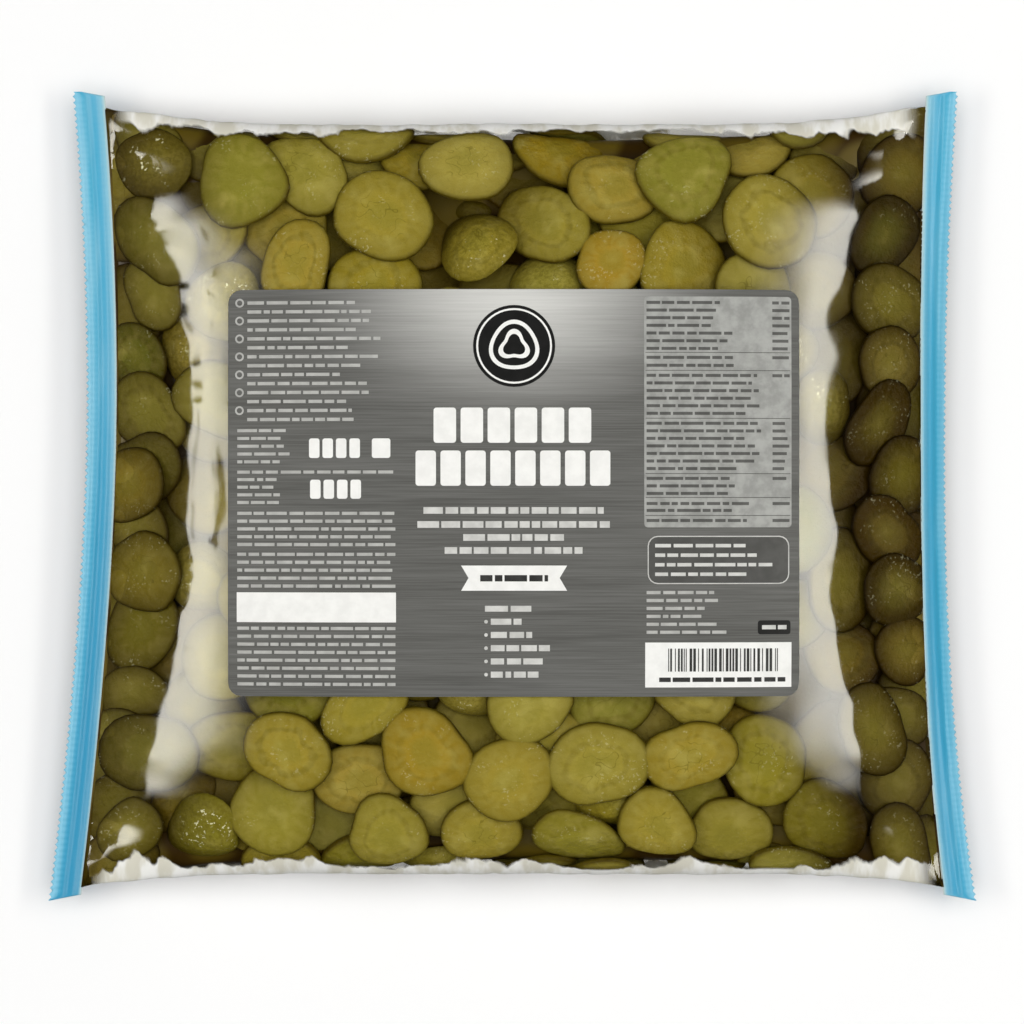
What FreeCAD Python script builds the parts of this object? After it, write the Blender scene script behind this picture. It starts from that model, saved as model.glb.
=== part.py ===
"""Pillow pouch of sliced pickles in brine, lying on its back, as a parametric FreeCAD document.

A tube of clear film is filled and welded shut at its left and right ends. The filled tube is a
pillow that rests on a flat underside. Each end weld is a ribbed band with a saw-toothed cut edge.
The seam that closes the film into a tube lies flat along the middle of the underside.

Frame: millimetres, +Z up, +X to the right and +Y to the top of the printed front.
The origin is at the middle of the pouch's length and height, on the surface it lies on.
"""

import FreeCAD, Part
import math
import os

import Sketcher

OUTPUT_FOLDER = "parts"

# alias, value, what it is; lengths in millimetres, angles in degrees, powers without a unit
DRIVING_SIZES = [
    ("overallWidth", 357.6, "from tooth tip to tooth tip at the bottom corners"),
    ("sealLength", 312.0, "length of an end weld along its cut edge"),
    ("cornerSlope", 2.4, "how much shorter the inner edge of a weld is, at each end"),
    ("thickness", 53.0, "height of the filled pouch at its middle"),
    ("pinchTop", 10.6, "how far the top fold is drawn in by the filling"),
    ("pinchBottom", 7.6, "how far the bottom fold is drawn in by the filling"),
    ("pinchPower", 6.0, "how close to the welds the folds start to be drawn in"),
    ("sealWidth", 12.2, "width of an end weld"),
    ("filmThickness", 0.6, "the two films together, in a weld and where they meet at a fold"),
    ("ribHeight", 0.32, "half the height of the ribs pressed into a weld"),
    ("ribPitch", 3.9, "distance between ribs"),
    ("toothPitch", 2.4, "distance between the teeth of the cut edge"),
    ("toothDepth", 1.2, "depth of a tooth"),
    ("sealHeight", 19.0, "height of the welds above the ground at their middle"),
    ("cornerDrop", 5.0, "how much lower the corners of a weld hang"),
    ("rimLift", 5.0, "how much higher the folds bulge than the welds, at the middle"),
    ("leftFlareTop", 5.4, "how far the left weld turns out at its top corner"),
    ("leftFlareBottom", 14.6, "how far the left weld turns out at its bottom corner"),
    ("leftFlarePower", 1.7, "how sharply the left weld turns out towards the bottom"),
    ("leftWaist", 37.0, "height of the left weld's narrowest point above the middle"),
    ("leftDroop", 18.0, "angle at which the middle of the left weld hangs down"),
    ("rightFlareTop", 2.7, "how far the right weld turns out at its top corner"),
    ("rightFlareBottom", 9.8, "how far the right weld turns out at its bottom corner"),
    ("rightFlarePower", 3.0, "how sharply the right weld turns out towards the bottom"),
    ("rightWaist", 50.0, "height of the right weld's narrowest point above the middle"),
    ("rightDroop", 38.0, "angle at which the middle of the right weld hangs down"),
    ("cornerDroop", 12.0, "angle at which the corners of both welds hang down"),
    ("flatDip", 1.2, "depth of filling that the ground presses flat"),
    ("topLongPower", 3.6, "how full the upper side is towards the welds"),
    ("topCrossPower", 2.5, "how full the upper side is towards the folds"),
    ("baseLongPower", 4.0, "how full the underside is towards the welds"),
    ("baseCrossPower", 4.0, "how full the underside is towards the folds"),
    ("seamWidth", 12.0, "width of the seam along the underside"),
    ("seamThickness", 0.5, "thickness of the seam along the underside"),
    ("seamGap", 4.0, "distance between each end of the seam and the weld"),
]

POLES_LONG = 19    # control points from weld to weld
POLES_CROSS = 19   # control points from fold to fold
RIB_POLES = 4      # control points for one rib
SEAM_FACETS = 24   # flat facets of the seam's upper side
BISECTIONS = 30    # halvings that find a place along the underside


def make_sheet(doc):
    """Write the driving sizes to a spreadsheet, one aliased cell each."""
    sheet = doc.addObject("Spreadsheet::Sheet", "sizes")
    for row, (alias, value, note) in enumerate(DRIVING_SIZES, start=1):
        sheet.set(f"A{row}", note)
        sheet.set(f"B{row}", str(value))
        sheet.setAlias(f"B{row}", alias)
    doc.recompute()
    return sheet


def clamped_knots(pole_count, degree):
    """Knots and multiplicities of an evenly spaced B-spline that starts and ends on its poles."""
    spans = pole_count - degree
    knots = [float(i) for i in range(spans + 1)]
    mults = [degree + 1] + [1] * (spans - 1) + [degree + 1]
    return knots, mults


def spline_surface(net):
    """B-spline surface that a net of control points pulls."""
    degree_u = min(3, len(net) - 1)
    degree_v = min(3, len(net[0]) - 1)
    knots_u, mults_u = clamped_knots(len(net), degree_u)
    knots_v, mults_v = clamped_knots(len(net[0]), degree_v)
    surface = Part.BSplineSurface()
    surface.buildFromPolesMultsKnots(
        net, mults_u, mults_v, knots_u, knots_v, False, False, degree_u, degree_v
    )
    return surface


def spline_block(upper, lower):
    """Solid between two nets of the same size, closed by four ruled sides."""
    nets = [
        upper,
        lower,
        [upper[0], lower[0]],
        [upper[-1], lower[-1]],
        [[row[0] for row in upper], [row[0] for row in lower]],
        [[row[-1] for row in upper], [row[-1] for row in lower]],
    ]
    sewn = Part.Compound([spline_surface(net).toShape() for net in nets])
    sewn.sewShape(0.001)
    solid = Part.Solid(sewn.Shells[0])
    if solid.Volume < 0:
        solid.reverse()
    return solid


def height_along_middle(surface, x):
    """Height at a place x along the middle of a skin whose first parameter runs towards +X."""
    low, high, first, last = surface.bounds()
    middle = (first + last) / 2
    for _ in range(BISECTIONS):
        guess = (low + high) / 2
        if surface.value(guess, middle).x < x:
            low = guess
        else:
            high = guess
    return surface.value(low, middle).z


def edge_crowded(count):
    """Shares from -1 to 1 that lie closer together towards both ends."""
    return [math.sin(math.pi / 2 * (2 * i / (count - 1) - 1)) for i in range(count)]


class Pouch:
    """The pouch's form, worked out from the sheet's sizes."""

    def __init__(self, sheet):
        self.size = {alias: float(sheet.get(alias)) for alias, _, _ in DRIVING_SIZES}

    def inner_end(self):
        """Half the length of a weld along its inner edge."""
        return self.size["sealLength"] / 2 - self.size["cornerSlope"]

    def weld_line(self, side, y):
        """Inner edge of the weld on a side, -1 left or 1 right, at a height y of the front."""
        size = self.size
        name = "left" if side < 0 else "right"
        corner_reach = size["sealWidth"] * math.cos(math.radians(size["cornerDroop"]))
        corner = size["overallWidth"] / 2 - corner_reach
        half = size["sealLength"] / 2
        waist = size[name + "Waist"]
        bottom = size[name + "FlareBottom"]
        if y > waist:
            flare = size[name + "FlareTop"] * ((y - waist) / (half - waist)) ** 2
        else:
            flare = bottom * ((waist - y) / (half + waist)) ** size[name + "FlarePower"]
        x = side * (corner - bottom + flare)
        z = size["sealHeight"] - size["cornerDrop"] * (y / half) ** 2
        return FreeCAD.Vector(x, y, z)

    def fold_line(self, top, along):
        """Height of the top or bottom fold, with along running from -1 at the left weld to 1."""
        size = self.size
        pinch = size["pinchTop"] if top else size["pinchBottom"]
        drawn_in = pinch * (1 - abs(along) ** size["pinchPower"])
        return self.inner_end() - drawn_in

    def point(self, along, across, above):
        """Point of the pillow's upper or lower skin. Both shares run from -1 to 1."""
        size = self.size
        y = across * self.fold_line(across > 0, along)
        left = self.weld_line(-1, y)
        right = self.weld_line(1, y)
        x = (left.x + right.x) / 2 + along * (right.x - left.x) / 2
        middle = left.z + size["rimLift"] * (1 - along**2) * across**2
        side = "top" if above else "base"
        long_power = size[side + "LongPower"]
        cross_power = size[side + "CrossPower"]
        full_long = 1 - abs(along) ** long_power
        full_cross = max(0.0, 1 - abs(across) ** cross_power) ** (1 / cross_power)
        full = full_long * full_cross
        if above:
            z = middle + (size["thickness"] - middle) * full + size["filmThickness"] / 2
        else:
            z = max(0.0, middle - (middle + size["flatDip"]) * full - size["filmThickness"] / 2)
        return FreeCAD.Vector(x, y, z)

    def skin(self, above):
        """Net of control points of the pillow's upper or lower skin."""
        net = []
        for along in edge_crowded(POLES_LONG):
            net.append([self.point(along, across, above) for across in edge_crowded(POLES_CROSS)])
        return net

    def pillow(self):
        """The filled part, before the seam is set into its underside."""
        return spline_block(self.skin(True), self.skin(False))

    def droop(self, side, y):
        """Angle in radians at which a weld hangs down at a height y of the front."""
        size = self.size
        middle = size["leftDroop" if side < 0 else "rightDroop"]
        share = min(1.0, abs(y) / (size["sealLength"] / 2))
        return math.radians(middle + (size["cornerDroop"] - middle) * share**2)

    def weld_point(self, side, share, reach, lift):
        """Point of a weld: share along it from -1 to 1, reach out from its inner edge, lift up."""
        size = self.size
        end = self.inner_end() + size["cornerSlope"] * reach / size["sealWidth"]
        y = share * end
        start = self.weld_line(side, y)
        angle = self.droop(side, y)
        out = FreeCAD.Vector(side * math.cos(angle), 0, -math.sin(angle))
        up = FreeCAD.Vector(side * math.sin(angle), 0, math.cos(angle))
        return start + out * reach + up * lift

    def rib(self, reach):
        """Lift of the ribbed film at a distance from the weld's inner edge."""
        size = self.size
        return size["ribHeight"] * math.sin(2 * math.pi * reach / size["ribPitch"])

    def weld_band(self, side):
        """A weld before its cut edge is trimmed to teeth. Its inner edge is the pillow's end."""
        size = self.size
        step = size["ribPitch"] / RIB_POLES
        steps = math.ceil((size["sealWidth"] + size["toothDepth"]) / step)
        half = size["filmThickness"] / 2
        nets = []
        for lift in (half, -half):
            net = []
            for share in edge_crowded(POLES_CROSS):
                row = [self.point(side, share, lift > 0)]
                for k in range(1, steps + 1):
                    reach = k * step
                    row.append(self.weld_point(side, share, reach, self.rib(reach) + lift))
                net.append(row)
            nets.append(net)
        return spline_block(nets[0], nets[1])

    def tooth_line(self, side):
        """Corners of the saw-toothed cut, seen from above, from the bottom corner to the top."""
        size = self.size
        teeth = round(size["sealLength"] / size["toothPitch"])
        corners = []
        for k in range(2 * teeth + 1):
            reach = size["sealWidth"] - (size["toothDepth"] if k % 2 else 0.0)
            corner = self.weld_point(side, k / teeth - 1, reach, 0.0)
            corners.append(FreeCAD.Vector(corner.x, corner.y, 0))
        return corners


def padded(doc, name, outline, length, plane, symmetric):
    """PartDesign body that pads a closed sketch; length is an expression on the sheet."""
    body = doc.addObject("PartDesign::Body", name)
    sketch = body.newObject("Sketcher::SketchObject", name + "Sketch")
    origin = [f for f in body.Origin.OriginFeatures if f.Role == plane][0]
    sketch.AttachmentSupport = (origin, "")
    sketch.MapMode = "FlatFace"
    sketch.addGeometry(outline, False)
    for i in range(len(outline)):
        following = (i + 1) % len(outline)
        sketch.addConstraint(Sketcher.Constraint("Coincident", i, 2, following, 1))
    pad = body.newObject("PartDesign::Pad", name + "Pad")
    pad.Profile = sketch
    if symmetric:
        pad.SideType = "Symmetric"
    pad.setExpression("Length", length)
    doc.recompute()
    return body


def polyline(points):
    """Line segments of a closed outline."""
    following = points[1:] + points[:1]
    return [Part.LineSegment(a, b) for a, b in zip(points, following)]


def trimmed_weld(doc, pouch, side, label):
    """A weld: the ribbed band less everything outside its line of teeth."""
    size = pouch.size
    band = doc.addObject("Part::Feature", label + "Band")
    band.Shape = pouch.weld_band(side)
    teeth = pouch.tooth_line(side)
    margin = size["sealWidth"]
    far = side * (size["overallWidth"] / 2 + margin)
    low = FreeCAD.Vector(far, teeth[0].y - margin, 0)
    high = FreeCAD.Vector(far, teeth[-1].y + margin, 0)
    start = FreeCAD.Vector(teeth[0].x, low.y, 0)
    end = FreeCAD.Vector(teeth[-1].x, high.y, 0)
    outline = polyline([low, start] + teeth + [end, high])
    waste = padded(doc, label + "Waste", outline, "sizes.thickness", "XY_Plane", False)
    weld = doc.addObject("Part::Cut", label)
    weld.Base = band
    weld.Tool = waste
    weld.Label = label
    doc.recompute()
    return weld


def seam_strip(doc, pouch):
    """Block that follows the underside between the welds and reaches the seam's depth into it."""
    size = pouch.size
    left = pouch.weld_line(-1, 0).x + size["seamGap"]
    right = pouch.weld_line(1, 0).x - size["seamGap"]
    underside = spline_surface(pouch.skin(False))
    roof = []
    for share in edge_crowded(SEAM_FACETS + 1):
        x = (left + right) / 2 + share * (right - left) / 2
        z = height_along_middle(underside, x) + size["seamThickness"]
        roof.append(FreeCAD.Vector(x, z, 0))
    depth = -size["thickness"]
    below = [FreeCAD.Vector(right, depth, 0), FreeCAD.Vector(left, depth, 0)]
    return padded(doc, "SeamStrip", polyline(roof + below), "sizes.seamWidth", "XZ_Plane", True)


def boolean(doc, kind, name, base, tool):
    """Part::Cut or Part::Common of two objects, labelled with its name."""
    made = doc.addObject(kind, name)
    made.Base = base
    made.Tool = tool
    made.Label = name
    doc.recompute()
    return made


def build(doc):
    """Make the document's objects and return the sub-parts to export."""
    sheet = make_sheet(doc)
    pouch = Pouch(sheet)

    pillow = doc.addObject("Part::Feature", "Pillow")
    pillow.Shape = pouch.pillow()
    strip = seam_strip(doc, pouch)
    body = boolean(doc, "Part::Cut", "pouch_body", pillow, strip)
    seam = boolean(doc, "Part::Common", "back_seam", pillow, strip)
    left_weld = trimmed_weld(doc, pouch, -1, "end_seal_left")
    right_weld = trimmed_weld(doc, pouch, 1, "end_seal_right")
    return [body, left_weld, right_weld, seam]


def check(doc, parts):
    """Stop if an object failed or a sub-part isn't a valid solid."""
    for item in doc.Objects:
        if "Invalid" in item.State or "Error" in item.State:
            raise RuntimeError(f"{item.Name} failed: {item.State}")
    for part in parts:
        shape = part.Shape
        if shape.isNull() or not shape.isValid() or not shape.Solids:
            raise RuntimeError(f"{part.Label} is not a valid solid")


def main():
    doc = FreeCAD.newDocument("pickle_pouch")
    parts = build(doc)
    check(doc, parts)
    os.makedirs(OUTPUT_FOLDER, exist_ok=True)
    for part in parts:
        shape = part.Shape
        box = shape.optimalBoundingBox()
        shape.exportStep(os.path.join(OUTPUT_FOLDER, part.Label + ".step"))
        print(
            f"{part.Label}: {len(shape.Solids)} solid, {shape.Volume / 1000:.1f} cm3, "
            f"x {box.XMin:.1f} to {box.XMax:.1f}, y {box.YMin:.1f} to {box.YMax:.1f}, "
            f"z {box.ZMin:.2f} to {box.ZMax:.2f}"
        )


main()
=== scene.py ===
import math
import random

import bpy
import numpy as np
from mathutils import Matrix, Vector, noise
from mathutils.bvhtree import BVHTree


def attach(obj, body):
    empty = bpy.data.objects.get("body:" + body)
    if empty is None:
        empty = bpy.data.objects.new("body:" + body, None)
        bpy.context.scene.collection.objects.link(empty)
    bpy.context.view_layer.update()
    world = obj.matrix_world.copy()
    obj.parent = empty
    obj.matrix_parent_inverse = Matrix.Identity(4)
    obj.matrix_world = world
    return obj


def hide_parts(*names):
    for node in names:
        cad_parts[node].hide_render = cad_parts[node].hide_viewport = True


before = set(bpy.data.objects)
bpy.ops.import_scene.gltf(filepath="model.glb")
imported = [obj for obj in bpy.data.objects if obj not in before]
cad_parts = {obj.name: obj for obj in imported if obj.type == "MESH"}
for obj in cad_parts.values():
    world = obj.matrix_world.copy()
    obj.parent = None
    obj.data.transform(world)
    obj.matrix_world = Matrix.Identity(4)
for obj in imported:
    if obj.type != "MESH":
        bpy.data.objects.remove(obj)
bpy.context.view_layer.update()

scene = bpy.context.scene
mm = 0.001


# small helpers
def rgb(code):
    # hex colour as seen on screen, to the linear values that shaders use
    parts = [int(code[i:i + 2], 16) / 255 for i in (0, 2, 4)]
    return tuple(p / 12.92 if p <= 0.04045 else ((p + 0.055) / 1.055) ** 2.4 for p in parts)


def smoothStep(low, high, x):
    t = np.clip((x - low) / (high - low), 0, 1)
    return t * t * (3 - 2 * t)


def noiseField(points, size, seed):
    # one noise value for each point, with bumps about as wide as size
    away = Vector((seed * 7.31, seed * 3.17, seed * 5.73))
    return np.array([noise.noise(Vector(p) / size + away) for p in points])


# Wraps a socket, so that shader maths can be written as expressions.
class Val:
    def __init__(self, finish, socket):
        self.finish = finish
        self.socket = socket

    def maths(self, operation, *others):
        values = dict(enumerate((self,) + others))
        return self.finish.node("ShaderNodeMath", {"operation": operation}, values)

    def __add__(self, other):
        return self.maths("ADD", other)

    def __mul__(self, other):
        return self.maths("MULTIPLY", other)

    def __sub__(self, other):
        return self.maths("SUBTRACT", other)

    def __rsub__(self, other):
        return self.finish.node("ShaderNodeMath", {"operation": "SUBTRACT"}, {0: other, 1: self})

    def __truediv__(self, other):
        return self.maths("DIVIDE", other)

    def __pow__(self, other):
        return self.maths("POWER", other)

    __radd__ = __add__
    __rmul__ = __mul__


class Finish:
    def __init__(self, name):
        self.material = bpy.data.materials.new(name)
        self.material.use_nodes = True
        self.tree = self.material.node_tree
        self.tree.nodes.clear()

    def node(self, kind, settings=None, inputs=None, output=0):
        made = self.tree.nodes.new(kind)
        for key, value in (settings or {}).items():
            if key == "stops":
                self.fillRamp(made.color_ramp, value)
            else:
                setattr(made, key, value)
        for key, value in (inputs or {}).items():
            socket = made.inputs[key]
            if isinstance(value, Val):
                self.tree.links.new(value.socket, socket)
            elif socket.type == "RGBA" and len(value) == 3:
                socket.default_value = (*value, 1)
            else:
                socket.default_value = value
        return Val(self, made.outputs[output]) if made.outputs else None

    def fillRamp(self, ramp, stops):
        while len(ramp.elements) < len(stops):
            ramp.elements.new(1)
        for element, (place, colour) in zip(ramp.elements, stops):
            element.position = place
            element.color = (*colour, 1)

    def attribute(self, name, output="Fac"):
        return self.node("ShaderNodeAttribute", {"attribute_name": name}, output=output)

    def place(self):
        return self.node("ShaderNodeTexCoord", output="Object")

    def split(self, vector):
        parts = self.node("ShaderNodeSeparateXYZ", inputs={0: vector})
        return [Val(self, s) for s in parts.socket.node.outputs]

    def stretched(self, vector, scale):
        return self.node("ShaderNodeMapping", inputs={"Vector": vector, "Scale": scale})

    def noise(self, vector, scale, detail=2.0, rough=0.5):
        values = {"Vector": vector, "Scale": scale, "Detail": detail, "Roughness": rough}
        return self.node("ShaderNodeTexNoise", inputs=values)

    def streaks(self, scale, detail=3.0, rough=0.5):
        return self.noise(self.stretched(self.place(), scale), 1.0, detail, rough)

    def step(self, value, low, high):
        # 0 below low, 1 above high, smooth between; high below low turns it round
        values = {"Value": value, "From Min": low, "From Max": high}
        return self.node("ShaderNodeMapRange", {"interpolation_type": "SMOOTHSTEP"}, values)

    def mix(self, share, a, b, blend="MIX"):
        settings = {"data_type": "RGBA", "blend_type": blend}
        return self.node("ShaderNodeMix", settings, {0: share, 6: a, 7: b}, 2)

    def ramp(self, value, stops):
        return self.node("ShaderNodeValToRGB", {"stops": stops}, {0: value})

    def bump(self, height, strength, distance):
        return self.node("ShaderNodeBump", inputs={
            "Height": height, "Strength": strength, "Distance": distance})

    def plain(self, **values):
        named = {key.replace("_", " "): value for key, value in values.items()}
        return self.node("ShaderNodeBsdfPrincipled", inputs=named)

    def clear(self):
        return self.node("ShaderNodeBsdfTransparent", inputs={"Color": (0.97, 0.97, 0.96)})

    def blend(self, share, a, b):
        return self.node("ShaderNodeMixShader", inputs={0: share, 1: a, 2: b})

    def done(self, shader):
        self.node("ShaderNodeOutputMaterial", inputs={"Surface": shader})
        return self.material


def makePiece(name, points, faces, material, attributes=None, replaces=()):
    mesh = bpy.data.meshes.new(name)
    if isinstance(faces, np.ndarray):
        faces = faces.tolist()
    mesh.from_pydata(np.asarray(points).tolist(), [], faces)
    for key, values in (attributes or {}).items():
        values = np.asarray(values, dtype=np.float32)
        kind, field = ("FLOAT", "value") if values.ndim == 1 else ("FLOAT_VECTOR", "vector")
        mesh.attributes.new(key, kind, "POINT").data.foreach_set(field, values.ravel())
    mesh.polygons.foreach_set("use_smooth", [True] * len(mesh.polygons))
    mesh.materials.append(material)
    piece = bpy.data.objects.new(name, mesh)
    scene.collection.objects.link(piece)
    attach(piece, "root")
    if replaces:
        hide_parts(*replaces)
    return piece


def gridFaces(rows, columns, wrap=False):
    # quads of a grid of points; wrap joins the last column to the first
    across = columns if wrap else columns - 1
    i, j = np.meshgrid(np.arange(rows - 1), np.arange(across), indexing="ij")
    k = (j + 1) % columns
    quads = [i * columns + j, (i + 1) * columns + j, (i + 1) * columns + k, i * columns + k]
    return np.stack(quads, axis=-1).reshape(-1, 4)


# the pouch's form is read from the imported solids
def readMesh(node):
    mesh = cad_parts[node].data
    points = np.empty(len(mesh.vertices) * 3)
    mesh.vertices.foreach_get("co", points)
    edges = np.empty(len(mesh.edges) * 2, dtype=int)
    mesh.edges.foreach_get("vertices", edges)
    points, edges = points.reshape(-1, 3), edges.reshape(-1, 2)
    faces = [tuple(p.vertices) for p in mesh.polygons]
    return points, edges, BVHTree.FromPolygons(points.tolist(), faces)


def extremes(points, edges, axis, value):
    # lowest and highest place, on the other level axis, where edges cross axis = value
    a, b = points[edges[:, 0]], points[edges[:, 1]]
    crossing = (a[:, axis] - value) * (b[:, axis] - value) < 0
    a, b = a[crossing], b[crossing]
    t = (value - a[:, axis]) / (b[:, axis] - a[:, axis])
    other = a[:, 1 - axis] + t * (b[:, 1 - axis] - a[:, 1 - axis])
    return other.min(), other.max()


tube = {
    "stations": 221,       # rings of points from weld to weld
    "around": 420,         # points round the tube
    "across": 161,         # heights read from fold to fold
    "inset": 0.4 * mm,     # film inside the solid's skin, so that print and seam have room
    "smoothAlong": 5.0,    # points of smoothing, weld to weld
    "smoothAround": 2.2,
    "roomShare": 0.46,     # of the way to the far side that the contents may fill
    "bendShare": 0.85,     # of the film's bending radius that they may fill
    "mostRoom": 30 * mm,
}

bodyPoints, bodyEdges, bodyTree = readMesh("pouch_body")
seamTree = readMesh("back_seam")[2]
edgeY = bodyPoints[:, 1].max() * 0.9995
weldY = np.linspace(-edgeY, edgeY, 81)
weldX = np.array([extremes(bodyPoints, bodyEdges, 1, y) for y in weldY])
edgeX = np.linspace(bodyPoints[:, 0].min() * 0.9995, bodyPoints[:, 0].max() * 0.9995, 121)
foldY = np.array([extremes(bodyPoints, bodyEdges, 0, x) for x in edgeX])


def planPlace(along, across):
    # place in plan; both shares run from -1 to 1, from weld to weld and from fold to fold
    def betweenWelds(y):
        left, right = np.interp(y, weldY, weldX[:, 0]), np.interp(y, weldY, weldX[:, 1])
        return (left + right) / 2 + along * (right - left) / 2

    upper = across > 0
    y = np.where(upper, 0.14, -0.14)
    for _ in range(4):
        x = betweenWelds(y)
        y = np.where(upper, np.interp(x, edgeX, foldY[:, 1]), np.interp(x, edgeX, foldY[:, 0]))
    y = np.abs(across) * y
    return betweenWelds(y), y


def readHeights(x, y):
    # heights of the upper skin and of the underside at a place in plan
    top = bodyTree.ray_cast(Vector((x, y, 0.2)), Vector((0, 0, -1)))[0]
    under = [tree.ray_cast(Vector((x, y, -0.1)), Vector((0, 0, 1)))[0]
             for tree in (bodyTree, seamTree)]
    under = [hit.z for hit in under if hit]
    return (top.z, min(under)) if top and under else (None, None)


def smoothGrid(grid, sigma, axis, closed):
    # Gaussian smoothing of a grid of points; an open side keeps its ends in place
    reach = int(sigma * 3)
    weights = np.exp(-0.5 * (np.arange(-reach, reach + 1) / sigma) ** 2)
    weights /= weights.sum()
    moved = np.moveaxis(grid, axis, 0)
    if closed:
        padded = np.concatenate([moved[-reach:], moved, moved[:reach]])
    else:
        head = 2 * moved[:1] - moved[reach:0:-1]
        tail = 2 * moved[-1:] - moved[-2:-reach - 2:-1]
        padded = np.concatenate([head, moved, tail])
    result = sum(w * padded[k:k + len(moved)] for k, w in enumerate(weights))
    return np.moveaxis(result, 0, axis)


def readTube():
    # rings of points round the film, from the left weld to the right one. Each ring starts at
    # the seam, goes to the bottom fold, over the front to the top fold, and back to the seam
    crowd = np.sin(np.linspace(-1, 1, tube["across"]) * math.pi / 2)
    rings, folds = [], []
    for along in np.linspace(-1, 1, tube["stations"]):
        x, y = planPlace(along * 0.9985, crowd * 0.9985)
        heights = [readHeights(px, py) for px, py in zip(x, y)]
        known = [k for k, h in enumerate(heights) if h[0] is not None]
        skins = [np.interp(range(len(x)), known, [heights[k][n] for k in known]) for n in (0, 1)]
        upper, lower = (np.stack([x, y, skin], axis=1) for skin in skins)
        middle = tube["across"] // 2
        ring = np.concatenate([lower[middle:0:-1], upper, lower[:middle - 1:-1]])
        length = np.concatenate([[0], np.cumsum(np.linalg.norm(np.diff(ring, axis=0), axis=1))])
        wanted = np.linspace(0, length[-1], tube["around"] + 1)[:-1]
        rings.append(np.stack([np.interp(wanted, length, ring[:, k]) for k in range(3)], axis=1))
        folds.append((length[middle], length[middle + tube["across"] - 1], length[-1]))
    grid = smoothGrid(np.array(rings), tube["smoothAlong"], 0, False)
    return smoothGrid(grid, tube["smoothAround"], 1, True), np.array(folds)


def gridNormals(grid):
    along = np.gradient(grid, axis=0)
    around = (np.roll(grid, -1, axis=1) - np.roll(grid, 1, axis=1)) / 2
    normal = np.cross(along, around)
    return normal / np.linalg.norm(normal, axis=2, keepdims=True)


rings, folds = readTube()
perimeter = folds[:, 2].mean()
ringNormals = gridNormals(rings)
rings = rings - ringNormals * tube["inset"]
stepAlong = np.linalg.norm(np.gradient(rings, axis=0), axis=2)
stepAround = np.linalg.norm(np.roll(rings, -1, axis=1) - rings, axis=2)
softNormals = smoothGrid(smoothGrid(ringNormals, 5, 1, True), 4, 0, False)
softNormals /= np.linalg.norm(softNormals, axis=2, keepdims=True)
rows, columns = rings.shape[:2]

# how far each place of the film is from the nearest fold and from the nearest weld
roundTube = np.arange(columns)[None, :] / columns * folds[:, 2:3]
foldAway = np.minimum(abs(roundTube - folds[:, 0:1]), abs(roundTube - folds[:, 1:2]))
weldAway = np.minimum(np.cumsum(stepAlong, axis=0), np.cumsum(stepAlong[::-1], axis=0)[::-1])
onTop = (roundTube > folds[:, 0:1]) & (roundTube < folds[:, 1:2])


def roomInside():
    # how deep the contents may lie under each place before they meet what lies on the far side
    room = np.full((rows, columns), 0.1)
    for i in range(0, rows, 2):
        for j in range(0, columns, 2):
            start = Vector(rings[i, j]) - Vector(softNormals[i, j]) * 0.0015
            hit = bodyTree.ray_cast(start, -Vector(softNormals[i, j]))
            room[i:i + 2, j:j + 2] = tube["roomShare"] * hit[3] if hit[0] else 1 * mm
    bend = np.linalg.norm(np.roll(softNormals, -1, axis=1) - softNormals, axis=2) / stepAround
    room = np.minimum(room, tube["bendShare"] / np.maximum(bend, 1))
    room = smoothGrid(smoothGrid(np.minimum(room, tube["mostRoom"]), 3, 0, False), 3, 1, True)
    room = room * smoothStep(-1.5 * mm, 13 * mm, weldAway)
    return np.clip(room, 0.0006, None)


room = roomInside()


def underFilm(i, j, depth):
    # places under the film, from grid coordinates and depth; depth shrinks where there's no room
    i, j = np.clip(i, 0, rows - 1.001), np.mod(j, columns)
    a, b = i.astype(int), j.astype(int) % columns
    s, t = (i - a)[..., None], (j - np.floor(j))[..., None]
    c = (b + 1) % columns

    def between(grid):
        grid = grid if grid.ndim == 3 else grid[..., None]
        low = grid[a, b] * (1 - t) + grid[a, c] * t
        return low * (1 - s) + (grid[a + 1, b] * (1 - t) + grid[a + 1, c] * t) * s

    share = np.minimum(1, between(room) / contents["reach"])
    return between(rings) - between(softNormals) * (depth[..., None] * share)


print("tube read: perimeter", round(perimeter / mm, 1), "mm, rings", rows, "points", columns)

# light: two long soft panels at the sides, which the film mirrors, and a soft light overhead
# that it doesn't mirror
light = {
    "panelHeight": 1.2,
    "panelNear": 0.56,                     # where a panel's glow begins, from the middle
    "panelFar": {-1: 1.62, 1: 1.36},       # its bright outer edge, on the left and the right
    "panelTop": {-1: 0.63, 1: 0.78},
    "panelBottom": -0.58,
    "panelFade": 0.22,
    "raggedFrom": {-1: 0.9, 1: 1.2},       # beyond this a panel's glow has gaps
    "panelStrength": 5.8,
    "topPower": 24.0,
    "topSize": 2.2,
    "topHeight": 1.9,
    "sky": 0.32,
    "floorSize": 12,
}


def panelFinish(side):
    f = Finish("lightPanel")
    x, y = f.split(f.place())[:2]
    outward = f.step(x * side, light["panelNear"], light["panelFar"][side] * 0.84)
    top = light["panelTop"][side]
    ends = f.step(y, top, top - light["panelFade"])
    ends = ends * f.step(y, light["panelBottom"], light["panelBottom"] + light["panelFade"])
    gaps = f.step(f.streaks((3.2, 10, 1), 2.0), 0.55, 0.61)
    start = light["raggedFrom"][side]
    whole = 1 - gaps * f.step(x * side, start, start + 0.25) * f.step(y, -0.26, -0.14)
    glow = f.mix(outward * ends * whole, (0, 0, 0), (1, 0.98, 0.9))
    shine = f.node("ShaderNodeEmission", inputs={"Color": glow, "Strength": light["panelStrength"]})
    return f.done(shine)


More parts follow.
